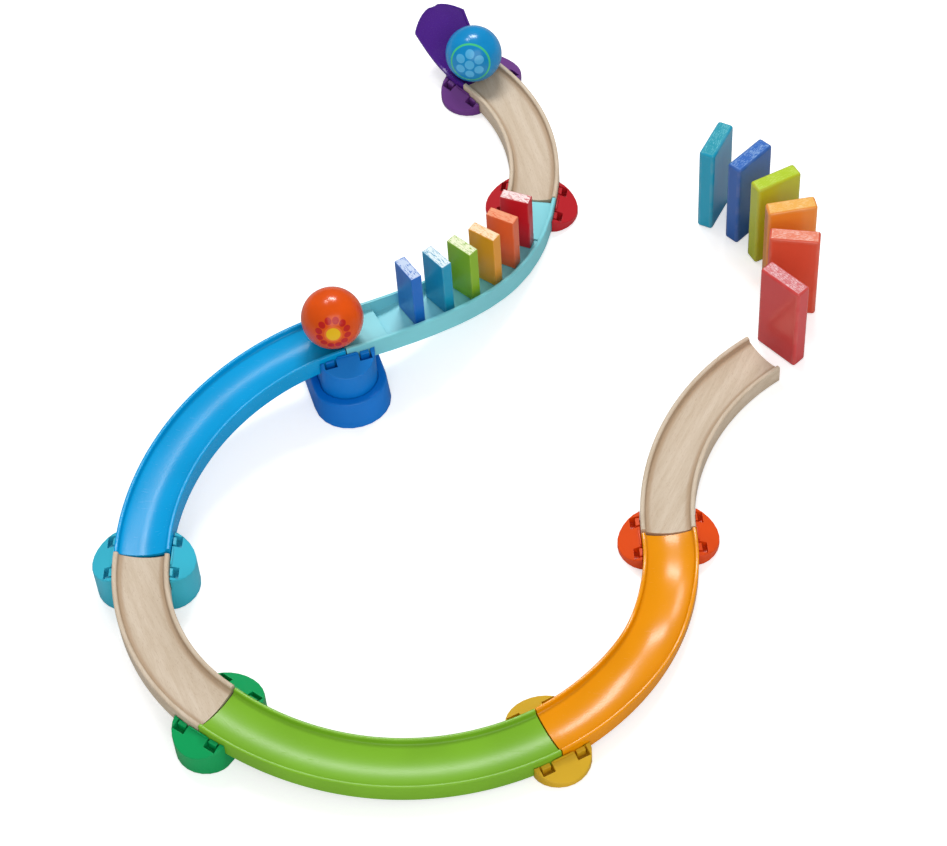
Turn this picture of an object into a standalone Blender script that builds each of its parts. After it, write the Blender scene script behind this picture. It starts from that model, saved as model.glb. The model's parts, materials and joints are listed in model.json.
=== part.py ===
"""Ball track: a chute, seven curved tracks on clip connectors, two balls and two rows of dominoes.

Lengths are in metres and +Z is up. Each track piece is a circular arc in plan that starts where the
one before it ends, so the whole run is laid out from the start point by radius, sweep and height.
"""
import math

import bmesh
import bpy
from mathutils import Vector

MM = 0.001

# Ball and channel section
BALL_DIAMETER = 45.0 * MM
TRACK_WIDTH = 38.5 * MM
TRACK_HEIGHT = 15.0 * MM
CHANNEL_DEPTH = 6.4 * MM
CHANNEL_SAG = 3.0 * MM
WOOD_RIM = 3.2 * MM
PLASTIC_RIM = 2.6 * MM
RIM_CHAMFER = 0.7 * MM
SHELL = 2.4 * MM
WALL_DRAFT = 0.5 * MM

# Clearances
FIT = 0.3 * MM
SEAM = 0.8 * MM

# Heights of the rims at the joints
SADDLE_PLATE = 1.7 * MM
LOW_RIM = TRACK_HEIGHT + FIT + SADDLE_PLATE
TOP_RIM = 55.0 * MM
TURQUOISE_RIM = 40.0 * MM
GREEN_RIM = 31.0 * MM
END_RIM = TRACK_HEIGHT + FIT

# Layout in plan: a start point and heading, then radius, sweep and bend at the joint before each piece
START_X = -124.0 * MM
START_Y = 344.0 * MM
START_HEADING = math.radians(-45.1)
WOOD_1_RADIUS = 156.0 * MM
WOOD_1_SWEEP = math.radians(-53.6)
STAIR_RADIUS = 200.0 * MM
STAIR_SWEEP = math.radians(-65.1)
STAIR_BEND = math.radians(2.8)
BLUE_RADIUS = 189.0 * MM
BLUE_SWEEP = math.radians(72.1)
BLUE_BEND = math.radians(1.1)
WOOD_2_RADIUS = 138.0 * MM
WOOD_2_SWEEP = math.radians(58.0)
WOOD_2_BEND = math.radians(-3.6)
GREEN_RADIUS = 205.0 * MM
GREEN_SWEEP = math.radians(64.5)
GREEN_BEND = math.radians(-1.2)
GREEN_DIP = 3.5 * MM
ORANGE_RADIUS = 162.0 * MM
ORANGE_SWEEP = math.radians(68.5)
ORANGE_BEND = math.radians(-0.4)
ORANGE_ARCH = 4.5 * MM
WOOD_3_RADIUS = 184.0 * MM
WOOD_3_SWEEP = math.radians(-57.4)
WOOD_3_BEND = math.radians(-3.0)

# Chute
CHUTE_RADIUS = 290.0 * MM
CHUTE_LENGTH = 63.0 * MM
CHUTE_FLAT = 18.0 * MM
CHUTE_RISE = 33.0 * MM
CHUTE_TOP_WIDTH = 46.5 * MM
CHUTE_CORNER = 10.0 * MM
CHUTE_RIM = 1.8 * MM
CHUTE_WALL = 3.0 * MM
CHUTE_LIP = 2.4 * MM
CHUTE_FOOT = 20.0 * MM
CHUTE_UNDER = 0.6
CHUTE_FADE = 0.9
CHUTE_CLIMB = 1.4
CHUTE_TIP = 0.2

# Domino stair
STAIR_FIRST = 43.5 * MM
STAIR_PITCH = 25.2 * MM
STAIR_TREAD_DEPTH = 8.5 * MM
STAIR_LANDING = 32.0 * MM
STAIR_EXTRA_HEIGHT = 3.0 * MM
STAIR_RISER = 0.3 * MM

# Connectors
EAR_LENGTH = 42.0 * MM
EAR_REACH = 16.5 * MM
EAR_DROP = 5.0 * MM
EAR_SLOPE = 8.5 * MM
EAR_ROUND = 0.8 * MM
EAR_BLUNT = 1.2
NOTCH_OFFSET = 13.0 * MM
NOTCH_LENGTH = 9.0 * MM
NOTCH_REACH = 6.2 * MM
NOTCH_DROP = 8.5 * MM
FINGER_LENGTH = 6.4 * MM
FINGER_REACH = 2.4 * MM
CONNECTOR_WALL = 2.4 * MM
RISER_HEIGHT = 20.0 * MM
RISER_RECESS = 3.0 * MM
RISER_LEDGE = 6.0 * MM
RISER_BLUNT = 0.9
RISER_FLARE = 1.5 * MM
RISER_REACH = 4.5 * MM
RISER_ROUND = 2.0 * MM

# Dominoes
STAIR_DOMINO = (8.6 * MM, 22.9 * MM, 50.0 * MM)
STAIR_DOMINO_EDGE = 0.5 * MM
FLOOR_DOMINO = (12.5 * MM, 37.4 * MM, 80.0 * MM)
FLOOR_DOMINO_EDGE = 2.0 * MM
FLOOR_LEAD_AHEAD = 19.7 * MM
FLOOR_LEAD_LEFT = 3.6 * MM
FLOOR_LEAD_TURN = math.radians(8.1)
FLOOR_ROW_AHEAD = -17.6 * MM
FLOOR_ROW_LEFT = 97.4 * MM
FLOOR_ROW_RADIUS = 96.0 * MM
FLOOR_ROW_FIRST = math.radians(46.4)
FLOOR_ROW_STEP = math.radians(17.85)

# Where the balls wait, measured along the run from their joint
BLUE_BALL_BACK = 7.0 * MM
ORANGE_BALL_AHEAD = 2.5 * MM

# Facets
ARC_STEPS = 14
FLOOR_STEPS = 6
EAR_STEPS = 12

HALF = TRACK_WIDTH / 2


def fresh_scene():
    """Empties the scene and makes a collection for the parts and one for the cutters."""
    for old in list(bpy.data.objects):
        bpy.data.objects.remove(old, do_unlink=True)
    made = []
    for name in ("ball_track", "cutters"):
        collection = bpy.data.collections.new(name)
        bpy.context.scene.collection.children.link(collection)
        made.append(collection)
    return made


PARTS, CUTTERS = fresh_scene()
ROOT = bpy.data.objects.new("ball_track", None)
PARTS.objects.link(ROOT)


def material(name, colour, roughness):
    """A Principled material in the part's colour."""
    made = bpy.data.materials.new(name)
    made.use_nodes = True
    shader = made.node_tree.nodes["Principled BSDF"]
    shader.inputs["Base Color"].default_value = (*colour, 1.0)
    shader.inputs["Roughness"].default_value = roughness
    shader.inputs["Metallic"].default_value = 0.0
    made.diffuse_color = (*colour, 1.0)
    return made


def finish(name, bm, look, location=(0, 0, 0), turn=0.0, parent=None, smooth=30.0):
    """Turns a bmesh into a named part and places it under its parent."""
    bmesh.ops.recalc_face_normals(bm, faces=bm.faces)
    mesh = bpy.data.meshes.new(name)
    bm.to_mesh(mesh)
    bm.free()
    mesh.shade_smooth()
    mesh.set_sharp_from_angle(angle=math.radians(smooth))
    part = bpy.data.objects.new(name, mesh)
    if look is None:
        CUTTERS.objects.link(part)
        part.hide_render = True
        part.display_type = "WIRE"
    else:
        mesh.materials.append(look)
        PARTS.objects.link(part)
    part.parent = parent or ROOT
    part.location = location
    part.rotation_euler = (0, 0, turn)
    return part


def cut(part, cutter):
    """Subtracts a cutter from a part."""
    boolean = part.modifiers.new(cutter.name, "BOOLEAN")
    boolean.operation = "DIFFERENCE"
    boolean.solver = "EXACT"
    boolean.object = cutter


def outline_solid(points, low, high, rounding=0.0, bm=None, upper=None):
    """A prism over an outline, upright or leaning in to an upper one, its top edge rounded."""
    bm = bm or bmesh.new()
    face = bm.faces.new([bm.verts.new((x, y, low)) for x, y in points])
    grown = bmesh.ops.extrude_face_region(bm, geom=[face])["geom"]
    top = [item for item in grown if isinstance(item, bmesh.types.BMVert)]
    bmesh.ops.translate(bm, vec=(0, 0, high - low), verts=top)
    if upper:
        homes = [(min(range(len(points)), key=lambda k: (vert.co.xy - Vector(points[k])).length), vert)
                 for vert in top]
        for k, vert in homes:
            vert.co.xy = upper[k]
    bmesh.ops.recalc_face_normals(bm, faces=bm.faces)
    if rounding:
        edges = [e for e in bm.edges if min(v.co.z for v in e.verts) > high - 0.1 * rounding]
        bmesh.ops.bevel(bm, geom=edges, offset=rounding, segments=2, profile=0.5, affect="EDGES")
    return bm


class Track:
    """One arc of the run: where it starts, how it turns and how its rim rises."""

    def __init__(self, pose, radius, sweep, rim, bend=0.0, dip=0.0):
        x, y, heading = pose
        self.radius = radius
        self.sweep = sweep
        self.side = math.copysign(1.0, sweep)
        self.heading = heading + bend
        self.start = Vector((x, y))
        self.bend = bend
        self.dip = dip
        left = Vector((-math.sin(self.heading), math.cos(self.heading)))
        self.centre = self.start + left * radius * self.side
        self.first = self.heading - self.side * math.pi / 2
        self.rim_start, self.rim_end = rim
        self.trim_start = SEAM / 2 + HALF * math.tan(abs(bend) / 2)
        self.trim_end = SEAM / 2

    def length(self):
        return self.radius * abs(self.sweep)

    def point(self, part):
        """The point of the centre line at a fraction of the sweep."""
        angle = self.first + self.sweep * part
        return self.centre + Vector((math.cos(angle), math.sin(angle))) * self.radius

    def heading_at(self, part):
        return self.heading + self.sweep * part

    def end(self):
        x, y = self.point(1.0)
        return x, y, self.heading_at(1.0)

    def rim(self, x, y):
        """Rim height of a curve that lies tilted along its chord, with x and y from the arc's centre."""
        chord = Vector((math.cos(self.sweep) - 1.0, math.sin(self.sweep))) * self.radius
        along = Vector((x - self.radius, y)).dot(chord) / chord.length_squared
        sag = 4 * self.dip * along * (1 - along)
        return self.rim_start + (self.rim_end - self.rim_start) * along - sag


def stair_rise(part):
    """Share of the climb that the stair has made: level at both ends, steepest in the middle."""
    return part ** 3 * (6 * part ** 2 - 15 * part + 10)


def channel(rim, hollow):
    """Closed section of a track: two rims, a shallow round floor and, if moulded, a hollow underside."""
    inner = HALF - rim
    edge = inner - WALL_DRAFT
    side = [(HALF, -TRACK_HEIGHT), (HALF, -RIM_CHAMFER), (HALF - RIM_CHAMFER, 0.0), (inner, 0.0)]
    floor = []
    for k in range(FLOOR_STEPS + 1):
        share = 1.0 - 2.0 * k / FLOOR_STEPS
        floor.append((edge * share, CHANNEL_SAG * share ** 2 - CHANNEL_DEPTH))
    points = side + floor + [(-d, z) for d, z in reversed(side)]
    if hollow:
        leg = HALF - SHELL
        points.append((-leg, -TRACK_HEIGHT))
        for k in range(FLOOR_STEPS - 1):
            share = 2.0 * k / (FLOOR_STEPS - 2) - 1.0
            points.append((leg * share, CHANNEL_SAG * share ** 2 - CHANNEL_DEPTH - SHELL))
        points.append((leg, -TRACK_HEIGHT))
    return points


def bar(extra):
    """Section of the space a track takes up, with a clearance at its sides and below."""
    wide = HALF + extra
    return [(wide, -TRACK_HEIGHT - extra), (wide, 2 * TRACK_HEIGHT), (-wide, 2 * TRACK_HEIGHT),
            (-wide, -TRACK_HEIGHT - extra)]


def spun(track, section, stations, shape):
    """Spins a section about the arc's centre, then sets every station to its own offset and height."""
    bm = bmesh.new()
    face = bm.faces.new([bm.verts.new((track.radius + d, 0.0, z)) for d, z in section])
    steps = len(stations) - 1
    bmesh.ops.spin(bm, geom=bm.verts[:] + bm.edges[:] + [face], cent=(0, 0, 0), axis=(0, 0, 1),
                   dvec=(0, 0, 0), angle=track.sweep, steps=steps, use_merge=False,
                   use_normal_flip=False, use_duplicate=False)
    for vert in bm.verts:
        share = math.atan2(vert.co.y, vert.co.x) / track.sweep
        part = stations[round(share * steps)]
        offset = math.hypot(vert.co.x, vert.co.y) - track.radius
        offset, height = shape(part, offset, vert.co.z)
        angle = track.sweep * part
        reach = track.radius + offset
        vert.co = (reach * math.cos(angle), reach * math.sin(angle), height)
    return bm


def spread(track, before, after, count):
    """Evenly spaced stations between two trims given as lengths."""
    first = before / track.length()
    last = 1.0 - after / track.length()
    return [first + (last - first) * k / count for k in range(count + 1)]


def tilted(track, arch=0.0):
    """Shape of a flat curve: points are lifted to the tilted plane of the rims, feet by an arch too."""
    feet = -(CHANNEL_DEPTH + SHELL + TRACK_HEIGHT) / 2

    def shape(part, offset, z):
        angle = track.sweep * part
        reach = track.radius + offset
        if z < feet:
            z += arch * math.sqrt(math.sin(math.pi * min(max(part, 0.0), 1.0)))
        return offset, z + track.rim(reach * math.cos(angle), reach * math.sin(angle))
    return shape


def curve(name, track, rim, hollow, look, arch=0.0):
    """A track piece with the plain channel section."""
    stations = spread(track, track.trim_start, track.trim_end, ARC_STEPS)
    bm = spun(track, channel(rim, hollow), stations, tilted(track, arch))
    return finish(name, bm, look, (*track.centre, 0), track.first)


def seat_cutter(name, track, shape, longer=SEAM):
    """The space of a whole track piece, a little longer than the piece at its joints."""
    stations = spread(track, -SEAM, -longer, ARC_STEPS)
    return finish(name, spun(track, bar(FIT), stations, shape), None, (*track.centre, 0), track.first)


# The run, from the chute to the end on the floor
LOW = (LOW_RIM, LOW_RIM)
wood_1 = Track((START_X, START_Y, START_HEADING), WOOD_1_RADIUS, WOOD_1_SWEEP, LOW)
stair = Track(wood_1.end(), STAIR_RADIUS, STAIR_SWEEP, (LOW_RIM, TOP_RIM), STAIR_BEND)
blue = Track(stair.end(), BLUE_RADIUS, BLUE_SWEEP, (TOP_RIM, TURQUOISE_RIM), BLUE_BEND)
wood_2 = Track(blue.end(), WOOD_2_RADIUS, WOOD_2_SWEEP, (TURQUOISE_RIM, GREEN_RIM), WOOD_2_BEND)
green = Track(wood_2.end(), GREEN_RADIUS, GREEN_SWEEP, (GREEN_RIM, LOW_RIM), GREEN_BEND, GREEN_DIP)
orange = Track(green.end(), ORANGE_RADIUS, ORANGE_SWEEP, LOW, ORANGE_BEND)
wood_3 = Track(orange.end(), WOOD_3_RADIUS, WOOD_3_SWEEP, (LOW_RIM, END_RIM), WOOD_3_BEND)
chute = Track((START_X, START_Y, START_HEADING + math.pi), CHUTE_RADIUS,
              -CHUTE_LENGTH / CHUTE_RADIUS, LOW)
for before, after in ((wood_1, stair), (stair, blue), (blue, wood_2), (wood_2, green),
                      (green, orange), (orange, wood_3)):
    before.trim_end = after.trim_start

BEECH = material("beech", (0.72, 0.56, 0.38), 0.55)
PURPLE = material("purple", (0.10, 0.02, 0.24), 0.35)
LILAC = material("lilac", (0.20, 0.05, 0.32), 0.35)
RED = material("red", (0.60, 0.02, 0.04), 0.35)
AQUA = material("aqua", (0.22, 0.66, 0.76), 0.35)
BLUE = material("blue", (0.01, 0.28, 0.74), 0.30)
SKY = material("sky", (0.03, 0.26, 0.68), 0.35)
NAVY = material("navy", (0.01, 0.09, 0.42), 0.35)
TURQUOISE = material("turquoise", (0.05, 0.48, 0.62), 0.35)
EMERALD = material("emerald", (0.01, 0.33, 0.10), 0.35)
LEAF = material("leaf", (0.24, 0.50, 0.03), 0.30)
YELLOW = material("yellow", (0.68, 0.40, 0.02), 0.35)
ORANGE = material("orange", (0.88, 0.30, 0.0), 0.30)
VERMILION = material("vermilion", (0.80, 0.09, 0.01), 0.35)

curve("wood_curve_1", wood_1, WOOD_RIM, False, BEECH)
curve("blue_curve", blue, PLASTIC_RIM, True, BLUE)
curve("wood_curve_2", wood_2, WOOD_RIM, False, BEECH)
curve("green_curve", green, PLASTIC_RIM, True, LEAF)
curve("orange_curve", orange, PLASTIC_RIM, True, ORANGE, ORANGE_ARCH)
curve("wood_curve_3", wood_3, WOOD_RIM, False, BEECH)


# Chute: the section flares, its far corners are rounded and its floor sweeps up
def chute_half(along):
    """Half width of the chute at a distance from its joint."""
    flare = min(max(along - CHUTE_FLAT, 0.0) / (CHUTE_LENGTH - CHUTE_FLAT - CHUTE_CORNER), 1.0)
    half = HALF + (CHUTE_TOP_WIDTH / 2 - HALF) * flare
    past = max(along - CHUTE_LENGTH + CHUTE_CORNER, 0.0) / CHUTE_CORNER
    return half * math.sqrt(1.0 - past)


def chute_lift(along):
    run = max(along - CHUTE_FLAT, 0.0) / (CHUTE_LENGTH - CHUTE_FLAT)
    return LOW_RIM + CHUTE_RISE * run ** CHUTE_CLIMB


def chute_bar(part, offset, z):
    """The chute's plan and lift, with every distance from its outer side kept."""
    along = part * CHUTE_LENGTH
    wide = chute_half(along)
    if abs(offset) > HALF / 2:
        offset = math.copysign(wide - HALF + abs(offset), offset)
    else:
        offset = offset * (wide - HALF / 2) / (HALF / 2)
    return offset, z + chute_lift(along)


def chute_shape(part, offset, z):
    """A trough that grows flatter as it climbs, on a full-height foot next to its joint."""
    rim = -CHUTE_FADE * part * CHANNEL_DEPTH
    if z > -CHANNEL_DEPTH:
        z = (z + CHANNEL_DEPTH) * (1.0 - CHUTE_FADE * part) - CHANNEL_DEPTH
    elif part * CHUTE_LENGTH > CHUTE_FOOT:
        z = rim - CHUTE_LIP if abs(offset) > HALF - CHUTE_RIM else -CHANNEL_DEPTH - SHELL
    return chute_bar(part, offset, z)


def chute_section():
    """A thin trough with upright rims."""
    inner = HALF - CHUTE_RIM
    points = [(HALF, -TRACK_HEIGHT), (HALF, 0.0), (inner, 0.0)]
    for k in range(FLOOR_STEPS + 1):
        share = 1.0 - 2.0 * k / FLOOR_STEPS
        sag = (CHANNEL_DEPTH - CHUTE_WALL) * share ** 2
        points.append(((inner - WALL_DRAFT) * share, sag - CHANNEL_DEPTH))
    points += [(-inner, 0.0), (-HALF, 0.0), (-HALF, -TRACK_HEIGHT)]
    points += [(-HALF * CHUTE_UNDER, -TRACK_HEIGHT), (HALF * CHUTE_UNDER, -TRACK_HEIGHT)]
    return points


chute_stations = spread(chute, SEAM / 2, CHUTE_CORNER, 8)
for k in range(1, 7):
    narrow = 1.0 - (1.0 - CHUTE_TIP) * k / 6
    chute_stations.append(1.0 - CHUTE_CORNER * narrow ** 2 / CHUTE_LENGTH)
finish("start_chute", spun(chute, chute_section(), chute_stations, chute_shape), PURPLE,
       (*chute.centre, 0), chute.first)


# Domino stair: level treads between climbing rims, a run-in before and a landing after
def stair_rim(part):
    return LOW_RIM + (TOP_RIM - LOW_RIM) * stair_rise(min(max(part, 0.0), 1.0))


STAIR_LENGTH = stair.length()
stair_places = [(STAIR_FIRST + k * STAIR_PITCH) / STAIR_LENGTH for k in range(6)]
stair_treads = [stair_rim(place) - STAIR_TREAD_DEPTH for place in stair_places]
stair_backs = [place - (STAIR_DOMINO[0] / 2 + FIT) / STAIR_LENGTH for place in stair_places]
stair_risers = stair_backs + [1.0 - STAIR_LANDING / STAIR_LENGTH]


def stair_floor(part):
    """Height of the floor: a tread from the back of each domino to the back of the next."""
    if part < stair_risers[0] or part >= stair_risers[-1]:
        return stair_rim(part) - CHANNEL_DEPTH
    return stair_treads[sum(part >= riser for riser in stair_backs) - 1]


def stair_drop(part):
    """How much deeper the stair's sides reach in its middle, so that its treads stay thick."""
    return 4 * STAIR_EXTRA_HEIGHT * part * (1 - part)


def stair_shape(part, offset, z):
    if z < -TRACK_HEIGHT + FIT:
        return offset, stair_rim(part) + z - stair_drop(part)
    if z < -CHANNEL_DEPTH + FIT:
        return offset, stair_floor(part)
    return offset, stair_rim(part) + z


def stair_bar(part, offset, z):
    lower = stair_drop(part) if z < 0 else 0.0
    return offset, stair_rim(part) + z - lower


stair_inner = HALF - PLASTIC_RIM
stair_side = [(HALF, -TRACK_HEIGHT), (HALF, -RIM_CHAMFER), (HALF - RIM_CHAMFER, 0.0),
              (stair_inner, 0.0), (stair_inner - WALL_DRAFT, -CHANNEL_DEPTH)]
stair_section = stair_side + [(-d, z) for d, z in reversed(stair_side)]
stair_stations = []
for riser in stair_risers:
    stair_stations += [riser - STAIR_RISER / STAIR_LENGTH, riser]
for station in spread(stair, stair.trim_start, stair.trim_end, ARC_STEPS):
    if min(abs(station - riser) for riser in stair_risers) * STAIR_LENGTH > 2 * STAIR_RISER:
        stair_stations.append(station)
stair_stations.sort()
finish("domino_stair", spun(stair, stair_section, stair_stations, stair_shape), AQUA,
       (*stair.centre, 0), stair.first)


# Connectors: a block with two rounded ears, hollowed to the shape of the tracks that it carries
def ear_outline(inset, longer=0.0, blunt=EAR_BLUNT):
    """Plan of a connector: a straight middle part between two rounded ears."""
    half_length = EAR_LENGTH / 2 - inset
    reach = EAR_REACH - inset + longer
    points = []
    for side in (-1, 1):
        for k in range(EAR_STEPS + 1):
            turn = math.pi * k / EAR_STEPS
            out = HALF + (reach + FIT) * abs(math.sin(turn)) ** blunt
            points.append((side * half_length * math.cos(turn), side * out))
    return points


def ear_block(foot, high):
    """The block of a connector, whose ears slope down from the tracks to a rounded edge."""
    bm = outline_solid(ear_outline(0.0), foot, high)
    top = [vert for vert in bm.verts if vert.co.z > (foot + high) / 2]
    outer = [edge for edge in bm.edges if edge.verts[0] in top and edge.verts[1] in top]
    for side in (-1, 1):
        inner = sorted(top, key=lambda vert: (side * vert.co.y <= 0, abs(vert.co.y)))[:2]
        bmesh.ops.connect_verts(bm, verts=inner)
    for vert in top:
        vert.co.z -= EAR_SLOPE * (abs(vert.co.y) - HALF) / (EAR_REACH + FIT)
    bmesh.ops.bevel(bm, geom=outer, offset=EAR_ROUND, segments=2, profile=0.5, affect="EDGES")
    bmesh.ops.triangulate(bm, faces=bm.faces)
    return bm


def notch_cutter(name, ear_top, pose):
    """Four pockets beside the tracks, each behind a springy finger."""
    bm = bmesh.new()
    near = HALF - FIT
    finger = HALF + FIT + FINGER_REACH
    far = HALF + FIT + NOTCH_REACH
    slot = NOTCH_LENGTH / 2
    grip = FINGER_LENGTH / 2
    hook = [(-slot, near), (-slot, far), (slot, far), (slot, near),
            (grip, near), (grip, finger), (-grip, finger), (-grip, near)]
    for side in (-1, 1):
        for middle in (-NOTCH_OFFSET, NOTCH_OFFSET):
            points = [(middle + x, side * y) for x, y in hook]
            outline_solid(points, ear_top - NOTCH_DROP, ear_top + EAR_DROP, bm=bm)
    x, y, heading = pose
    return finish(name, bm, None, (x, y, 0), heading)


seats = {"wood_1": seat_cutter("seat_wood_1", wood_1, tilted(wood_1)),
         "stair": seat_cutter("seat_stair", stair, stair_bar),
         "blue": seat_cutter("seat_blue", blue, tilted(blue)),
         "wood_2": seat_cutter("seat_wood_2", wood_2, tilted(wood_2)),
         "green": seat_cutter("seat_green", green, tilted(green)),
         "orange": seat_cutter("seat_orange", orange, tilted(orange)),
         "wood_3": seat_cutter("seat_wood_3", wood_3, tilted(wood_3)),
         "chute": seat_cutter("seat_chute", chute, chute_bar, -CHUTE_CORNER)}


def connector(name, before, after, track, foot, look):
    """The connector at the start of a track piece, standing on a foot height."""
    x, y = track.start
    pose = (x, y, track.heading - track.bend / 2)
    ear_top = track.rim_start - EAR_DROP
    part = finish(name, ear_block(foot, ear_top), look, (x, y, 0), pose[2])
    cut(part, seats[before])
    cut(part, seats[after])
    cut(part, notch_cutter(name + "_notches", ear_top, pose))
    ceiling = track.rim_start - TRACK_HEIGHT - 2 * CONNECTOR_WALL
    if ceiling - foot > CONNECTOR_WALL:
        hollow = outline_solid(ear_outline(CONNECTOR_WALL), foot - CONNECTOR_WALL, ceiling)
        cut(part, finish(name + "_hollow", hollow, None, (x, y, 0), pose[2]))
    return pose


connector("start_connector", "chute", "wood_1", wood_1, 0.0, LILAC)
connector("red_connector", "wood_1", "stair", stair, 0.0, RED)
riser_floor = RISER_HEIGHT - RISER_RECESS
top_pose = connector("blue_connector", "stair", "blue", blue, riser_floor + FIT, SKY)
connector("turquoise_connector", "blue", "wood_2", wood_2, 0.0, TURQUOISE)
connector("green_connector", "wood_2", "green", green, 0.0, EMERALD)
connector("yellow_connector", "green", "orange", orange, 0.0, YELLOW)
connector("orange_connector", "orange", "wood_3", wood_3, 0.0, VERMILION)

top_x, top_y, top_heading = top_pose
skirt = outline_solid(ear_outline(-RISER_LEDGE - RISER_FLARE, RISER_REACH, RISER_BLUNT), 0.0, RISER_HEIGHT,
                      RISER_ROUND, upper=ear_outline(-RISER_LEDGE, 0.0, RISER_BLUNT))
riser = finish("riser_base", skirt, NAVY, (top_x, top_y, 0), top_heading)
recess = outline_solid(ear_outline(-FIT), riser_floor, RISER_HEIGHT + RISER_RECESS)
cut(riser, finish("riser_recess", recess, None, (top_x, top_y, 0), top_heading))
void = outline_solid(ear_outline(CONNECTOR_WALL - RISER_LEDGE, 0.0, RISER_BLUNT), -CONNECTOR_WALL,
                     riser_floor - CONNECTOR_WALL)
cut(riser, finish("riser_hollow", void, None, (top_x, top_y, 0), top_heading))


# Dominoes: their origin is the lower edge that they tip over, with +X the way they fall
def domino(name, size, edge, look, x, y, z, heading):
    thick, wide, tall = size
    bm = bmesh.new()
    bmesh.ops.create_cube(bm, size=1.0)
    bmesh.ops.scale(bm, vec=size, verts=bm.verts)
    bmesh.ops.translate(bm, vec=(-thick / 2, 0, tall / 2), verts=bm.verts)
    foot_x = x + math.cos(heading) * thick / 2
    foot_y = y + math.sin(heading) * thick / 2
    part = finish(name, bm, look, (foot_x, foot_y, z), heading)
    bevel = part.modifiers.new("edges", "BEVEL")
    bevel.width = edge
    bevel.segments = 1
    return part


def paint(name, colour):
    return material("paint_" + name, colour, 0.45)


stair_colours = (("red", (0.62, 0.03, 0.05)), ("orange", (0.80, 0.15, 0.03)), ("amber", (0.85, 0.38, 0.03)),
                 ("green", (0.45, 0.55, 0.03)), ("teal", (0.05, 0.45, 0.60)), ("blue", (0.03, 0.16, 0.50)))
for (colour, value), place, tread in zip(stair_colours, stair_places, stair_treads):
    px, py = stair.point(place)
    domino("stair_domino_" + colour, STAIR_DOMINO, STAIR_DOMINO_EDGE, paint("stair_" + colour, value),
           px, py, tread + FIT, stair.heading_at(place))

end_x, end_y, end_heading = wood_3.end()
ahead = Vector((math.cos(end_heading), math.sin(end_heading)))
left = Vector((-ahead.y, ahead.x))
end_point = Vector((end_x, end_y))
lead = end_point + ahead * FLOOR_LEAD_AHEAD + left * FLOOR_LEAD_LEFT
row_centre = end_point + ahead * FLOOR_ROW_AHEAD + left * FLOOR_ROW_LEFT
floor_places = [(lead, end_heading + FLOOR_LEAD_TURN)]
for k in range(5):
    heading = end_heading + FLOOR_ROW_FIRST + k * FLOOR_ROW_STEP
    spoke = Vector((math.sin(heading), -math.cos(heading)))
    floor_places.append((row_centre + spoke * FLOOR_ROW_RADIUS, heading))
floor_colours = (("red", (0.62, 0.03, 0.05)), ("coral", (0.78, 0.12, 0.06)), ("amber", (0.88, 0.30, 0.03)),
                 ("lime", (0.45, 0.52, 0.02)), ("blue", (0.02, 0.14, 0.50)), ("teal", (0.02, 0.35, 0.50)))
for (colour, value), (point, heading) in zip(floor_colours, floor_places):
    domino("floor_domino_" + colour, FLOOR_DOMINO, FLOOR_DOMINO_EDGE, paint("floor_" + colour, value),
           point.x, point.y, 0.0, heading)


# Balls: each hangs on an empty that stands on the axis its path turns about
def ball(name, track, along, look):
    pivot = bpy.data.objects.new(name + "_path", None)
    PARTS.objects.link(pivot)
    pivot.parent = ROOT
    pivot.location = (*track.centre, track.rim(0.0, 0.0))
    pivot.rotation_euler = (0, 0, track.first)
    turned = track.sweep * along / track.length()
    spot = Vector((math.cos(turned), math.sin(turned))) * track.radius
    slope = Vector((track.rim(1.0, 0.0), track.rim(0.0, 1.0))) - Vector((1, 1)) * track.rim(0.0, 0.0)
    normal = Vector((-slope.x, -slope.y, 1.0)).normalized()
    rim = track.rim(spot.x, spot.y) - track.rim(0.0, 0.0)
    middle = Vector((spot.x, spot.y, rim)) + normal * (BALL_DIAMETER / 2 + FIT - CHANNEL_DEPTH)
    bm = bmesh.new()
    bmesh.ops.create_uvsphere(bm, u_segments=24, v_segments=14, radius=BALL_DIAMETER / 2)
    return finish(name, bm, look, middle, 0.0, pivot, 180.0)


ball("blue_ball", wood_1, -BLUE_BALL_BACK, material("ball_blue", (0.01, 0.33, 0.72), 0.2))
ball("orange_ball", blue, ORANGE_BALL_AHEAD, material("ball_orange", (0.83, 0.10, 0.01), 0.2))


def centre_on_floor():
    """Moves the whole run so that its box is centred over the origin."""
    bpy.context.view_layer.update()
    graph = bpy.context.evaluated_depsgraph_get()
    points = []
    for part in PARTS.objects:
        if part.type == "MESH":
            seen = part.evaluated_get(graph)
            points += [seen.matrix_world @ vert.co for vert in seen.data.vertices]
    for axis in (0, 1):
        values = [point[axis] for point in points]
        ROOT.location[axis] = -(min(values) + max(values)) / 2


centre_on_floor()
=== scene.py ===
# %% [markdown]
# # A ball track
# The real toy is a run of curved channels, some of beech and some of moulded plastic, clipped together by
# coloured connectors. A ball rolls down from a chute, knocks over dominoes on a stair, sends off a second ball
# and ends at a row of large dominoes. The CAD model already has every piece at its place and size, so this
# lesson loads it and gives each piece its finer shape and its finish.

import json
import math

import bpy
from mathutils import Matrix, Vector


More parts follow.
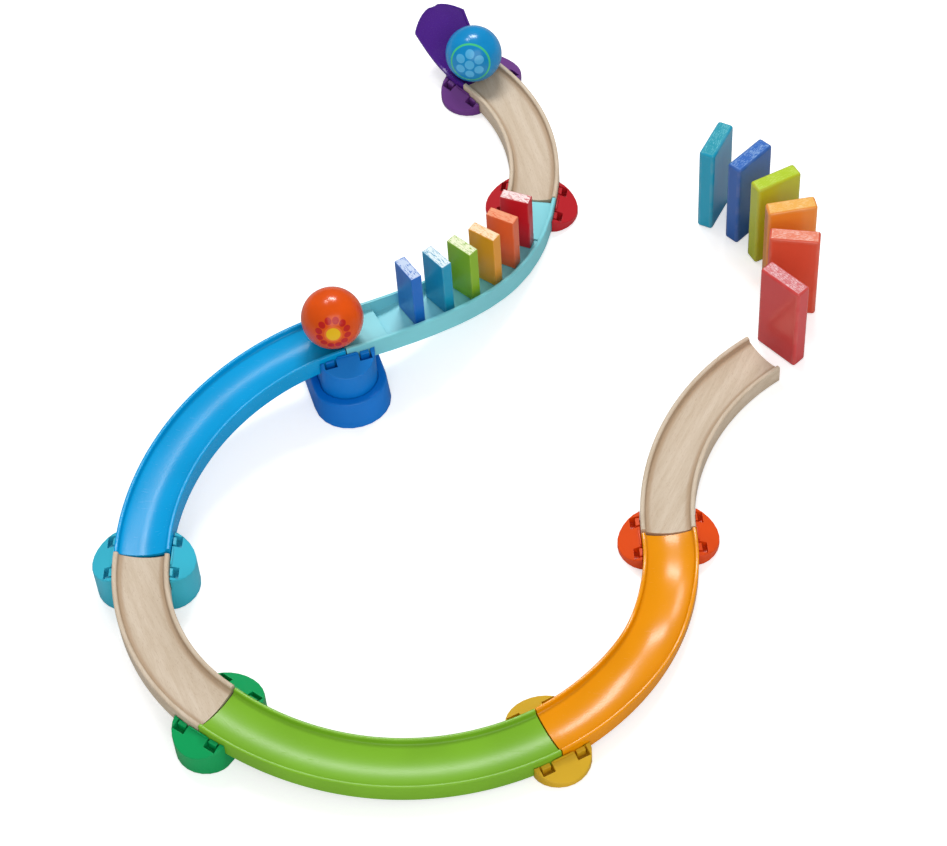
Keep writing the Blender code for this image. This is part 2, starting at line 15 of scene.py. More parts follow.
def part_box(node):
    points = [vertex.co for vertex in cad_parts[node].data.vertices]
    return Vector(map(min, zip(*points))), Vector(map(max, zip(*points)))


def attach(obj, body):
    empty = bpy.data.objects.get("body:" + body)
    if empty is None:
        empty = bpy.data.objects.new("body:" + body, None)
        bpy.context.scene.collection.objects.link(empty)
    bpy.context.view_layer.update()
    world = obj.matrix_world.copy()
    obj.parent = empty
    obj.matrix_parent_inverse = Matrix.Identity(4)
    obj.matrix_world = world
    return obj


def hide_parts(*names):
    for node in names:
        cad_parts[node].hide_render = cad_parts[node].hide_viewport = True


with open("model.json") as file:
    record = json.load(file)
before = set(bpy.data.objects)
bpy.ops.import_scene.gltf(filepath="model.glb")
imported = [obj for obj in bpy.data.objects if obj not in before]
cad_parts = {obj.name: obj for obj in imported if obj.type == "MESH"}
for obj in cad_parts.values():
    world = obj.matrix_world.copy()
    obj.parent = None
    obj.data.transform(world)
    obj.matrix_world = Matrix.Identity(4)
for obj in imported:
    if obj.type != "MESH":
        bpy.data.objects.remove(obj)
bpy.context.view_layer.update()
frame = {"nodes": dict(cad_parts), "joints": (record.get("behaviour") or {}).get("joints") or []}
cad_nodes = frame["nodes"]
joints = {joint["name"]: joint for joint in frame["joints"]}


# %% [markdown]
# Operators act on what is selected, and loading leaves the CAD nodes selected. A few small helpers keep that in
# order: one puts everything down, one picks up a single piece, one opens it for editing, and the last one moves
# its place into its mesh.

# %% Selecting
def put_down():
    """Leaves edit mode and deselects everything."""
    if bpy.context.mode != "OBJECT":
        bpy.ops.object.mode_set(mode="OBJECT")
    bpy.ops.object.select_all(action="DESELECT")


def pick_up(piece):
    """Makes one piece the only selected and active one."""
    put_down()
    piece.select_set(True)
    bpy.context.view_layer.objects.active = piece


def edit_all():
    """Opens the active piece in edit mode with all of it selected."""
    bpy.ops.object.mode_set(mode="EDIT")
    bpy.ops.mesh.select_all(action="SELECT")


def keep_place(piece):
    """Moves a piece's place, turn and size into its mesh."""
    pick_up(piece)
    bpy.ops.object.transform_apply(location=True, rotation=True, scale=True)


put_down()

# %% [markdown]
# The channels follow each other as arcs. Each one starts where the last one ends, so the plan is walked like a
# path: a start point and a heading, and for every arc its radius, its sweep and the small bend at the joint
# before it. The hinge of the blue ball stands on the centre of the first arc, which ties this plan to the CAD
# model.

# %% The plan of the run
MM = 0.001
HALF = 19.25 * MM  # half the width of a channel
TRACK_HEIGHT = 15.0 * MM
CHANNEL_DEPTH = 6.4 * MM
CHANNEL_SAG = 3.0 * MM  # the floor is that much lower in the middle than at its sides
FIT = 0.3 * MM
SEAM = 0.8 * MM
LOW, TOP, TURQUOISE_RIM, GREEN_RIM, END = (17.0 * MM, 55.0 * MM, 40.0 * MM, 31.0 * MM, 15.3 * MM)
START = Vector((-124.0 * MM, 344.0 * MM))
START_HEADING = -45.1
# radius in mm, sweep and bend in degrees, height of the rim at both ends, dip of the rim between them in mm
PLAN = ((156.0, -53.6, 0.0, (LOW, LOW), 0.0),
        (200.0, -65.1, 2.8, (LOW, TOP), 0.0),
        (189.0, 72.1, 1.1, (TOP, TURQUOISE_RIM), 0.0),
        (138.0, 58.0, -3.6, (TURQUOISE_RIM, GREEN_RIM), 0.0),
        (205.0, 64.5, -1.2, (GREEN_RIM, LOW), 3.5),
        (162.0, 68.5, -0.4, (LOW, LOW), 0.0),
        (184.0, -57.4, -3.0, (LOW, END), 0.0))


class Arc:
    """One arc of the run, from its radius and sweep and the heights of its rim."""

    def __init__(self, start, heading, radius, sweep, bend, rims, dip):
        self.start = start
        self.bend = math.radians(bend)
        self.heading = heading + self.bend
        self.radius = radius * MM
        self.sweep = math.radians(sweep)
        self.side = math.copysign(1.0, sweep)
        self.rims = rims
        self.dip = dip * MM
        self.first = self.heading - self.side * math.pi / 2
        self.centre = start - self.spoke(0.0) * self.radius
        self.trim_start = SEAM / 2 + HALF * math.tan(abs(self.bend) / 2)
        self.trim_end = SEAM / 2

    def spoke(self, turned):
        """The direction from the centre to the arc, turned that far from its start."""
        return Vector((math.cos(self.first + turned), math.sin(self.first + turned)))

    def end(self):
        """The last point and the heading there."""
        return self.centre + self.spoke(self.sweep) * self.radius, self.heading + self.sweep

    def rim(self, x, y):
        """Height of the rim's tilted plane at a point counted from the arc's centre."""
        chord = Vector((math.cos(self.sweep) - 1.0, math.sin(self.sweep))) * self.radius
        along = Vector((x - self.radius, y)).dot(chord) / chord.length_squared
        return self.rims[0] + (self.rims[1] - self.rims[0]) * along - 4 * self.dip * along * (1 - along)


run = []
point, heading = START, math.radians(START_HEADING)
for shape in PLAN:
    run.append(Arc(point, heading, *shape))
    point, heading = run[-1].end()
for before, after in zip(run, run[1:]):
    before.trim_end = after.trim_start
first_wood, stair, blue, middle_wood, green, orange, last_wood = run
shift = Vector(joints["blue_ball_roll"]["pos_m"][:2]) - first_wood.centre
print("the plan is shifted by", [round(value * 1000, 2) for value in shift], "mm")

# %% [markdown]
# The photo looks down on the run from the front with a long lens. The camera's height angle, distance and lens
# were found by matching the rims of the tracks. It stands to the right of the middle, so it is panned a little to
# the left, and a sideways shift does the rest.

# %% Camera
PHOTO_WIDTH = 947
SENSOR_WIDTH = 36.0
CAMERA_ANGLE = math.radians(51.837)
CAMERA_RANGE = 1.943
PIXELS_PER_RADIAN = 2674.0
PAN = 60.0  # in pixels, as is the column that lies straight ahead
STRAIGHT_AHEAD = 635.3
bpy.ops.object.camera_add()
camera = bpy.context.object
camera.name = "photo_camera"
camera.data.sensor_width = SENSOR_WIDTH
camera.data.lens = SENSOR_WIDTH * PIXELS_PER_RADIAN / PHOTO_WIDTH
camera.data.shift_x = -(STRAIGHT_AHEAD - PAN - PHOTO_WIDTH / 2) / PHOTO_WIDTH
camera.location = (shift.x, shift.y - math.cos(CAMERA_ANGLE) * CAMERA_RANGE,
                   math.sin(CAMERA_ANGLE) * CAMERA_RANGE)
tilt = Matrix.Rotation(math.pi / 2 - CAMERA_ANGLE, 3, "X")
camera.rotation_euler = (tilt @ Matrix.Rotation(PAN / PIXELS_PER_RADIAN, 3, "Y")).to_euler()
bpy.context.scene.camera = camera
print("lens", round(camera.data.lens, 1), "mm")


# %% [markdown]
# Colours are written as they look on a screen, from 0 to 255, and a shader wants them linear. Node trees are
# built with one helper that adds a node, sets its options and fills its inputs.

# %% Colour and node helpers
def screen(red, green_part, blue_part):
    """A screen colour as linear values with full alpha."""
    linear = []
    for value in (red, green_part, blue_part):
        share = value / 255
        linear.append(share / 12.92 if share <= 0.04045 else ((share + 0.055) / 1.055) ** 2.4)
    return (*linear, 1.0)


def shade(colour, factor):
    """A darker or lighter tone of a linear colour."""
    return (*(min(value * factor, 1.0) for value in colour[:3]), 1.0)


def fill(tree, socket, value):
    """Links a socket to an input, or sets any other value on it."""
    if isinstance(value, bpy.types.NodeSocket):
        tree.links.new(value, socket)
    else:
        socket.default_value = value


def node(tree, kind, options=None, inputs=None):
    """Adds a shader node, sets its options and fills its inputs."""
    made = tree.nodes.new("ShaderNode" + kind)
    for key, value in (options or {}).items():
        setattr(made, key, value)
    for key, value in (inputs or {}).items():
        fill(tree, made.inputs[key], value)
    return made


def math_node(tree, operation, *values):
    """The result of one Math node."""
    return node(tree, "Math", {"operation": operation}, dict(enumerate(values))).outputs[0]


def blend(tree, share, low, high):
    """Mixes two colours."""
    mix = node(tree, "Mix", {"data_type": "RGBA"})
    for name, value in (("Factor_Float", share), ("A_Color", low), ("B_Color", high)):
        fill(tree, next(item for item in mix.inputs if item.identifier == name), value)
    return next(item for item in mix.outputs if item.identifier == "Result_Color")


# %% [markdown]
# Patterns start from noise. Most of a noise lies in its middle range, which a ramp spreads over the values that
# are wanted, and coordinates that are stretched turn its spots into fibres.

# %% Pattern helpers
NOISE_RANGE = (0.3, 0.7)


def ramp(tree, value, low, high, out_low=0.0, out_high=1.0):
    """Runs smoothly from one value to another between two limits."""
    return node(tree, "MapRange", {"interpolation_type": "SMOOTHSTEP"},
                {"Value": value, "From Min": low, "From Max": high, "To Min": out_low,
                 "To Max": out_high}).outputs["Result"]


def noise(tree, vector, scale=1.0, detail=3.0):
    """Noise from 0 to 1 with that many features per metre."""
    return node(tree, "TexNoise", None, {"Vector": vector, "Scale": scale, "Detail": detail}).outputs["Fac"]


def stretched(tree, vector, along, across):
    """Coordinates for a pattern that runs along X: few features along it, many across."""
    return node(tree, "VectorMath", {"operation": "MULTIPLY"},
                {0: vector, 1: (along, across, across)}).outputs[0]


# %% [markdown]
# An effect that several materials share is a node group with named sockets. Materials start alike, too: a tree, its
# shader and the coordinates of the piece itself.

# %% Group and material helpers
SURFACE = (("Color", "Color"), ("Roughness", "Float"), ("Height", "Float"))


def new_group(name, inputs):
    """An empty node group that puts out a surface, with its input and output nodes."""
    tree = bpy.data.node_groups.new(name, "ShaderNodeTree")
    for in_out, sockets in (("INPUT", inputs), ("OUTPUT", SURFACE)):
        for label, kind in sockets:
            tree.interface.new_socket(name=label, in_out=in_out, socket_type="NodeSocket" + kind)
    return tree, tree.nodes.new("NodeGroupInput"), tree.nodes.new("NodeGroupOutput")


def use_group(tree, group, inputs):
    """Places a group in a material and fills its inputs."""
    placed = tree.nodes.new("ShaderNodeGroup")
    placed.node_tree = group
    for key, value in inputs.items():
        fill(tree, placed.inputs[key], value)
    return placed


def new_look(name):
    """A material with its tree, its shader and the piece's own coordinates."""
    look = bpy.data.materials.new(name)
    look.use_nodes = True
    tree = look.node_tree
    return look, tree, tree.nodes["Principled BSDF"], tree.nodes.new("ShaderNodeTexCoord").outputs["Object"]


def bump(tree, shader, height, strength, depth):
    """Lets a height stand out on a shader."""
    made = node(tree, "Bump", None, {"Strength": strength, "Distance": depth, "Height": height})
    tree.links.new(made.outputs["Normal"], shader.inputs["Normal"])


# %% [markdown]
# Beech has a quiet figure: broad pale bands, fine fibres along the board and many short dark flecks. One group
# holds all three, for coordinates whose X runs along the grain, and both the bare channels and the painted
# dominoes use it with their own colours.

# %% Wood fibre group
BANDS, THREADS, FLECKS = (9.0, 190.0), (55.0, 1500.0), (330.0, 2300.0)  # per metre, along and across the grain
BAND_SHARE = 0.62
FLECK_LIMITS = (0.60, 0.70)  # only the peaks of the noise become flecks
FLECK_STRENGTH = 0.38
FLECK_PIT = 0.5
FIBRE_ROUGHNESS = (0.46, 0.62)
fibres, source, sink = new_group("wood_fibres", (("Vector", "Vector"), ("Light", "Color"), ("Dark", "Color"),
                                                 ("Fleck", "Color")))
along_grain = source.outputs["Vector"]
bands = noise(fibres, stretched(fibres, along_grain, *BANDS), detail=4.0)
threads = noise(fibres, stretched(fibres, along_grain, *THREADS))
flecks = noise(fibres, stretched(fibres, along_grain, *FLECKS), detail=1.0)
figure = math_node(fibres, "ADD", math_node(fibres, "MULTIPLY", ramp(fibres, bands, 0.32, 0.68), BAND_SHARE),
                   math_node(fibres, "MULTIPLY", ramp(fibres, threads, 0.25, 0.75), 1.0 - BAND_SHARE))
fleck_mask = ramp(fibres, flecks, *FLECK_LIMITS, 0.0, FLECK_STRENGTH)
wood_tone = blend(fibres, figure, source.outputs["Light"], source.outputs["Dark"])
fibres.links.new(blend(fibres, fleck_mask, wood_tone, source.outputs["Fleck"]), sink.inputs["Color"])
fibres.links.new(ramp(fibres, threads, 0.2, 0.8, *FIBRE_ROUGHNESS), sink.inputs["Roughness"])
fibres.links.new(math_node(fibres, "SUBTRACT", threads, math_node(fibres, "MULTIPLY", fleck_mask, FLECK_PIT)),
                 sink.inputs["Height"])
print("made group", fibres.name)

# %% [markdown]
# Moulded plastic is almost even, but never quite: its tone drifts a little, the mould leaves a fine skin that
# scatters highlights, and play leaves faint hairline scuffs. This group gives all three to every plastic piece.

# %% Moulded plastic group
DRIFT, PEBBLES, SCUFFS = 22.0, 1400.0, (60.0, 900.0)
DRIFT_SHARE = 0.6
PEBBLE_ROUGHNESS = 0.03
SCUFF_LIMITS = (0.62, 0.74)
SCUFF_ROUGHNESS = 0.10
skin, source, sink = new_group("moulded_skin", (("Vector", "Vector"), ("Color", "Color"), ("Deep", "Color"),
                                                ("Gloss", "Float")))
drift = noise(skin, source.outputs["Vector"], DRIFT, 2.0)
pebbles = noise(skin, source.outputs["Vector"], PEBBLES, 2.0)
scuffs = noise(skin, stretched(skin, source.outputs["Vector"], *SCUFFS), detail=2.0)
tone = blend(skin, ramp(skin, drift, *NOISE_RANGE, 0.0, DRIFT_SHARE), source.outputs["Color"],
             source.outputs["Deep"])
skin.links.new(tone, sink.inputs["Color"])
rough = math_node(skin, "ADD", source.outputs["Gloss"],
                  ramp(skin, pebbles, *NOISE_RANGE, -PEBBLE_ROUGHNESS, PEBBLE_ROUGHNESS))
rough = math_node(skin, "ADD", rough, ramp(skin, scuffs, *SCUFF_LIMITS, 0.0, SCUFF_ROUGHNESS))
skin.links.new(rough, sink.inputs["Roughness"])
skin.links.new(math_node(skin, "ADD", math_node(skin, "MULTIPLY", pebbles, 0.5),
                         math_node(skin, "MULTIPLY", drift, 0.5)), sink.inputs["Height"])
print("made group", skin.name)


# %% [markdown]
# Each plastic piece now gets its own colour through the skin group. The base colour, roughness and bump come
# from the group, and what is the same everywhere stays on the shader itself.

# %% Plastic looks
DEEP_TONE = 0.86


def plastic(name, colour, gloss):
    """A moulded plastic of one colour. The gloss is its mean roughness."""
    look, tree, shader, place = new_look(name)
    made = use_group(tree, skin, {"Vector": place, "Color": colour, "Deep": shade(colour, DEEP_TONE),
                                  "Gloss": gloss})
    tree.links.new(made.outputs["Color"], shader.inputs["Base Color"])
    tree.links.new(made.outputs["Roughness"], shader.inputs["Roughness"])
    bump(tree, shader, made.outputs["Height"], strength=0.05, depth=0.2 * MM)
    shader.inputs["IOR"].default_value = 1.49
    shader.inputs["Specular IOR Level"].default_value = 0.32
    return look


looks = {"start_chute": plastic("purple_plastic", screen(82, 36, 140), 0.25),
         "start_connector": plastic("lilac_plastic", screen(112, 57, 138), 0.40),
         "red_connector": plastic("red_plastic", screen(196, 32, 42), 0.36),
         "domino_stair": plastic("aqua_plastic", screen(131, 216, 226), 0.36),
         "blue_connector": plastic("sky_plastic", screen(0, 126, 216), 0.38),
         "riser_base": plastic("royal_plastic", screen(0, 121, 216), 0.38),
         "blue_curve": plastic("blue_plastic", screen(0, 163, 226), 0.21),
         "turquoise_connector": plastic("turquoise_plastic", screen(56, 188, 214), 0.38),
         "green_connector": plastic("emerald_plastic", screen(0, 168, 93), 0.38),
         "green_curve": plastic("leaf_plastic", screen(129, 187, 42), 0.31),
         "yellow_connector": plastic("yellow_plastic", screen(222, 176, 32), 0.38),
         "orange_curve": plastic("orange_plastic", screen(243, 154, 0), 0.215),
         "orange_connector": plastic("vermilion_plastic", screen(236, 80, 12), 0.38)}
print("made", len(looks), "plastic looks")

# %% [markdown]
# The wooden channels are cut from straight boards, so the grain of each one runs along its chord, not round the
# bend. A Mapping node turns the coordinates to that chord. The foot of the rim gets painted shade, a browner
# and darker tone in the crease, which an attribute on the mesh marks.

# %% Beech looks
BEECH = {"Light": screen(214, 197, 175), "Dark": screen(198, 178, 152), "Fleck": screen(174, 146, 116)}
# Painted shade: a browner, darker tone laid into the crease at the foot of the rim.
GROOVE_SHADE_BROWN = screen(170, 136, 100)
GROOVE_SHADE_SHARE = 0.55


def beech(name, arc):
    """Bare beech with its grain along the chord of an arc, and painted shade at the foot of the rim."""
    look, tree, shader, place = new_look(name)
    chord = arc.end()[0] - arc.start
    turned = node(tree, "Mapping", None, {"Vector": place, "Rotation": (0, 0, -math.atan2(chord.y, chord.x))})
    made = use_group(tree, fibres, {"Vector": turned.outputs["Vector"], **BEECH})
    # The groove attribute blends painted shade into the crease at the foot of the rim.
    groove_shade = node(tree, "Attribute", {"attribute_name": "groove_shade"}).outputs["Fac"]
    tree.links.new(blend(tree, math_node(tree, "MULTIPLY", groove_shade, GROOVE_SHADE_SHARE), made.outputs["Color"],
                         GROOVE_SHADE_BROWN), shader.inputs["Base Color"])
    tree.links.new(made.outputs["Roughness"], shader.inputs["Roughness"])
    bump(tree, shader, made.outputs["Height"], strength=0.12, depth=0.25 * MM)
    return look


looks["wood_curve_1"] = beech("beech_first", first_wood)
looks["wood_curve_2"] = beech("beech_middle", middle_wood)
looks["wood_curve_3"] = beech("beech_last", last_wood)
print("made three beech looks")

# %% [markdown]
# A channel is one section carried round a bend. The section has rounded rims, a shallow round floor and, under the
# plastic ones, a hollow. It is written as corners, each with its own radius, from which an outline of points is
# made.

# %% The section of a channel
WOOD_RIM = 3.2 * MM
PLASTIC_RIM = 2.6 * MM
WALL = 2.4 * MM  # thickness of the plastic
RIM_LEAN = 0.5 * MM  # the inner face of a rim leans in by this
WOOD_ROUNDING = 1.2 * MM
PLASTIC_ROUNDING = 0.9 * MM
FOOT_ROUNDING = 1.2 * MM
SIDE_ROUNDING = 0.5 * MM
LEG_ROUNDING = 0.4 * MM
CORNER_STEPS = 4
FLOOR_STEPS = 16


def soften(corners):
    """An outline in which every corner given as x, z and radius is rounded."""
    outline = []
    for index, (x, z, radius) in enumerate(corners):
        here = Vector((x, z))
        if radius == 0:
            outline.append(here)
            continue
        before = Vector(corners[index - 1][:2])
        after = Vector(corners[(index + 1) % len(corners)][:2])
        enter = here + (before - here).normalized() * radius
        leave = here + (after - here).normalized() * radius
        for step in range(CORNER_STEPS + 1):
            share = step / CORNER_STEPS
            outline.append(enter.lerp(here, share).lerp(here.lerp(leave, share), share))
    return outline


def channel_outline(rim, hollow):
    """The outline of a channel's section, with its top at height 0."""
    inner = HALF - rim
    edge = inner - RIM_LEAN
    rounding = PLASTIC_ROUNDING if hollow else WOOD_ROUNDING
    side = [(HALF, -TRACK_HEIGHT, SIDE_ROUNDING), (HALF, 0.0, rounding), (inner, 0.0, rounding),
            (edge, CHANNEL_SAG - CHANNEL_DEPTH, FOOT_ROUNDING)]
    shares = [1.0 - 2 * step / FLOOR_STEPS for step in range(1, FLOOR_STEPS)]
    floor = [(edge * share, CHANNEL_SAG * share ** 2 - CHANNEL_DEPTH, 0) for share in shares]
    corners = side + floor + [(-x, z, radius) for x, z, radius in reversed(side)]
    if hollow:
        leg = HALF - WALL
        under = CHANNEL_DEPTH + WALL
        corners.append((-leg, -TRACK_HEIGHT, LEG_ROUNDING))
        corners += [(leg * share, CHANNEL_SAG * share ** 2 - under, 0) for share in (-1.0, -0.5, 0.0, 0.5, 1.0)]
        corners.append((leg, -TRACK_HEIGHT, LEG_ROUNDING))
    return soften(corners)


print("a hollow section has", len(channel_outline(PLASTIC_RIM, True)), "points")

# %% [markdown]
# A flat circle gives a ring of points, which are moved onto the outline. Spin then carries the face round the arc,
# which closes both ends. It keeps the section true, which a bent straight bar would not. Each point is then lifted
# to the tilted plane in which the rim lies. The orange curve also swings up and down a little on its way and its
# underside is arched.

# %% Curved channels
SPIN_STEPS = 60
GROOVE_WIDTH = 2.6 * MM
GROOVE_CLIMB = 0.4 * MM
GROOVE_TOP = -1.0 * MM
UNDERSIDE = -12.0 * MM
WAVE_START = 0.14
WAVE_LENGTH = 0.7
WAVE_STRETCH = 1.5
SMOOTH_ANGLE = math.radians(40)


def spun_section(name, arc, outline):
    """The section as a face, carried round an arc about the origin."""
    put_down()
    bpy.ops.mesh.primitive_circle_add(vertices=len(outline), radius=HALF, fill_type="NGON")
    piece = bpy.context.object
    piece.name = piece.data.name = name
    for vertex, (across, up) in zip(piece.data.vertices, outline):
        vertex.co = (arc.radius + across, 0, up)
    turned = abs(arc.sweep) - arc.trim_start / arc.radius - arc.trim_end / arc.radius
    edit_all()
    bpy.ops.mesh.spin(steps=SPIN_STEPS, angle=-arc.side * turned, center=(0, 0, 0), axis=(0, 0, 1))
    bpy.ops.mesh.select_all(action="SELECT")
    bpy.ops.mesh.normals_make_consistent(inside=False)
    bpy.ops.object.mode_set(mode="OBJECT")
    return piece


def channel_curve(name, cad_node, arc, rim, hollow, arch=0.0, wave=0.0):
    """Makes one channel, lifts it to its place and gives it its look."""
    piece = spun_section(name, arc, channel_outline(rim, hollow))
    # Marks the crease at the foot of the rim, where the wood gets painted shade.
    groove_shade = piece.data.attributes.new("groove_shade", "FLOAT", "POINT")
    foot = HALF - rim
    for index, vertex in enumerate(piece.data.vertices):
        x, y, up = vertex.co
        out = math.hypot(x, y)
        in_shaded_groove = foot - GROOVE_WIDTH < abs(out - arc.radius) < foot + GROOVE_CLIMB
        groove_shade.data[index].value = 1.0 if in_shaded_groove and -CHANNEL_DEPTH < up < GROOVE_TOP else 0.0
        angle = math.atan2(y, x) + arc.side * arc.trim_start / arc.radius
        part = min(max(angle / arc.sweep, 0.0), 1.0)
        bell = math.sqrt(math.sin(math.pi * part))
        if up < UNDERSIDE:
            up += arch * bell
        else:
            swing = math.cos(2 * math.pi * (max(part - WAVE_START, 0.0) / WAVE_LENGTH) ** WAVE_STRETCH)
            up += wave * swing * bell
        x, y = Vector((math.cos(angle), math.sin(angle))) * out
        vertex.co = (x, y, up + arc.rim(x, y))
    piece.location = (*(arc.centre + shift), 0)
    piece.rotation_euler.z = arc.first
    keep_place(piece)
    bpy.ops.object.shade_smooth_by_angle(angle=SMOOTH_ANGLE)
    piece.data.materials.append(looks[cad_node])
    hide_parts(cad_node)
    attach(piece, "track")
    print(name, len(piece.data.polygons), "faces")


channel_curve("first_wood_channel", "wood_curve_1", first_wood, WOOD_RIM, hollow=False)
channel_curve("blue_channel", "blue_curve", blue, PLASTIC_RIM, hollow=True)
channel_curve("middle_wood_channel", "wood_curve_2", middle_wood, WOOD_RIM, hollow=False)
channel_curve("green_channel", "green_curve", green, PLASTIC_RIM, hollow=True)
channel_curve("orange_channel", "orange_curve", orange, PLASTIC_RIM, hollow=True, arch=4.5 * MM, wave=2.4 * MM)
channel_curve("last_wood_channel", "wood_curve_3", last_wood, WOOD_RIM, hollow=False)

# %% [markdown]
# The stair, the chute, the riser and the connectors have their right shape in the CAD model already. Its mesh is
# loose triangles, which would show as facets, so each of these pieces is a copy whose triangles are merged. A
# mould leaves no sharp edge, so a fine bevel rounds them all, and weighted normals keep the broad faces flat. Very
# short edges would hold the bevel back, so they are dissolved first. The chute's thin rim is the exception: there
# the bevel is clamped, because its sides would meet.

# %% Stair, chute, riser and connectors
MERGE = 0.01 * MM
FLAT_ANGLE = math.radians(0.5)
SHORT_EDGE = 0.1 * MM
SLIVER = 0.001 * MM
CREASE = math.radians(32.0)
SHELL_SMOOTH_ANGLE = math.radians(52.0)
MOULD_EDGE = 0.35 * MM
CHUTE_EDGE = 0.9 * MM


def round_edges(piece, edge, clamped):
    """Bevels all creases and takes out the slivers that this leaves."""
    bpy.ops.object.modifier_add(type="BEVEL")
    rounding = piece.modifiers[-1]
    rounding.width = edge
    rounding.segments = 2
    rounding.limit_method = "ANGLE"
    rounding.angle_limit = CREASE
    rounding.use_clamp_overlap = clamped
    bpy.ops.object.modifier_apply(modifier=rounding.name)
    if not clamped:
        edit_all()
        bpy.ops.mesh.dissolve_degenerate(threshold=SLIVER)
        bpy.ops.object.mode_set(mode="OBJECT")


def dressed(cad_node, edge, clamped):
    """A copy of a CAD node with merged triangles, rounded edges and its look."""
    put_down()
    piece = bpy.data.objects.new(cad_node + "_shell", cad_nodes[cad_node].data.copy())
    bpy.context.scene.collection.objects.link(piece)
    pick_up(piece)
    edit_all()
    bpy.ops.mesh.remove_doubles(threshold=MERGE)
    bpy.ops.mesh.dissolve_limited(angle_limit=FLAT_ANGLE)
    if not clamped:
        bpy.ops.mesh.dissolve_degenerate(threshold=SHORT_EDGE)
    bpy.ops.object.mode_set(mode="OBJECT")
    round_edges(piece, edge, clamped)
    bpy.ops.object.shade_smooth_by_angle(angle=SHELL_SMOOTH_ANGLE)
    bpy.ops.object.modifier_add(type="WEIGHTED_NORMAL")
    flattening = piece.modifiers[-1]
    flattening.keep_sharp = True
    bpy.ops.object.modifier_apply(modifier=flattening.name)
    piece.data.materials.clear()
    piece.data.materials.append(looks[cad_node])
    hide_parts(cad_node)
    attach(piece, "track")
    print(cad_node, len(piece.data.polygons), "faces")


CONNECTORS = {"start_connector": first_wood, "red_connector": stair, "blue_connector": blue,
              "turquoise_connector": middle_wood, "green_connector": green, "yellow_connector": orange,
              "orange_connector": last_wood}
dressed("start_chute", CHUTE_EDGE, clamped=True)
for cad_node in ("domino_stair", "riser_base", *CONNECTORS):
    dressed(cad_node, MOULD_EDGE, clamped=False)

# %% [markdown]
# Between the two slots of every ear, a low rib runs along the track and stiffens the clip. It is a cube at the
# rib's size whose edges are bevelled. One is modelled, and its copy is turned to the other side of the connector.

# %% Ribs on the connectors
RIB = (15.0 * MM, 1.2 * MM, 1.2 * MM)
RIB_GAP = 0.2 * MM
RIB_EDGE = 0.4 * MM
EAR_DROP = 5.0 * MM  # the ears lie that much below the rim
for cad_node, arc in CONNECTORS.items():
    put_down()
    bpy.ops.mesh.primitive_cube_add(size=1)
    rib = bpy.context.object
    rib.scale = RIB
    rib.location = (0, HALF + FIT + RIB[1] / 2 + RIB_GAP, 0)
    keep_place(rib)
    edit_all()
    bpy.ops.mesh.bevel(offset=RIB_EDGE, segments=2, affect="EDGES")
    bpy.ops.mesh.select_all(action="SELECT")
    bpy.ops.mesh.duplicate()
    bpy.ops.transform.rotate(value=math.pi, orient_axis="Z", center_override=(0, 0, 0))
    bpy.ops.object.mode_set(mode="OBJECT")
    rib.name = rib.data.name = cad_node.replace("connector", "ribs")
    rib.location = (*(arc.start + shift), arc.rims[0] - EAR_DROP)
    rib.rotation_euler.z = arc.heading - arc.bend / 2
    keep_place(rib)
    bpy.ops.object.shade_smooth_by_angle(angle=SMOOTH_ANGLE)
    rib.data.materials.append(looks[cad_node])
    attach(rib, "track")
print("made ribs for", len(CONNECTORS), "connectors")

# %% [markdown]
# A domino is a sawn block that is painted with a thin, satin coat. The upright grain shows through it as a faint
# change of tone, and the coat is a little thinner along the edges, where a paler line appears.

# %% Painted sides
PAINT_TONES = {"Light": 1.01, "Dark": 0.98, "Fleck": 0.98}
PAINT_ROUGHNESS = (0.28, 0.34)
BARE_WOOD = screen(240, 222, 200)
BARE_SHARE = 0.4
WEAR_PATCHES = 90.0
WEAR = (0.02, 0.16)


def painted(name, colour, lacquer):
    """Satin paint on upright grain."""
    look, tree, shader, place = new_look(name)
    upright = node(tree, "Mapping", None, {"Vector": place, "Rotation": (0, math.pi / 2, 0)}).outputs["Vector"]
    tones = {label: shade(colour, factor) for label, factor in PAINT_TONES.items()}
    made = use_group(tree, fibres, {"Vector": upright, **tones})
    worn = node(tree, "Attribute", {"attribute_name": "worn"}).outputs["Fac"]
    patches = ramp(tree, noise(tree, place, WEAR_PATCHES), *NOISE_RANGE, *WEAR)
    paler = (value * (1.0 - BARE_SHARE) + bare * BARE_SHARE for value, bare in zip(colour[:3], BARE_WOOD))
    tree.links.new(blend(tree, math_node(tree, "MULTIPLY", worn, patches), made.outputs["Color"], (*paler, 1.0)),
                   shader.inputs["Base Color"])
    tree.links.new(ramp(tree, made.outputs["Roughness"], *FIBRE_ROUGHNESS, *PAINT_ROUGHNESS),
                   shader.inputs["Roughness"])
    bump(tree, shader, made.outputs["Height"], strength=0.01, depth=0.1 * MM)
    shader.inputs["Specular IOR Level"].default_value = 0.3
    shader.inputs["Coat Weight"].default_value = lacquer
    shader.inputs["Coat Roughness"].default_value = 0.14
    return look


# %% [markdown]
# On the two ends the paint soaks into the open pores, and short broken streaks of another tone stay along the
# broad side. Noise that is stretched along that side draws them. On the small dominoes the ends are nearly bare
# and the colour keeps to streaks and to the border, and on the large ones the colour covers and the streaks are
# pale.

# %% End grain
HATCH = (330.0, 1800.0)  # per metre, along and across the streaks
HATCH_SHARE = 0.72
END_PATCHES = 170.0
STREAK_LIMITS = (0.54, 0.61)
BORDER = 0.18
MOST = 0.9
END_ROUGHNESS = (0.42, 0.62)


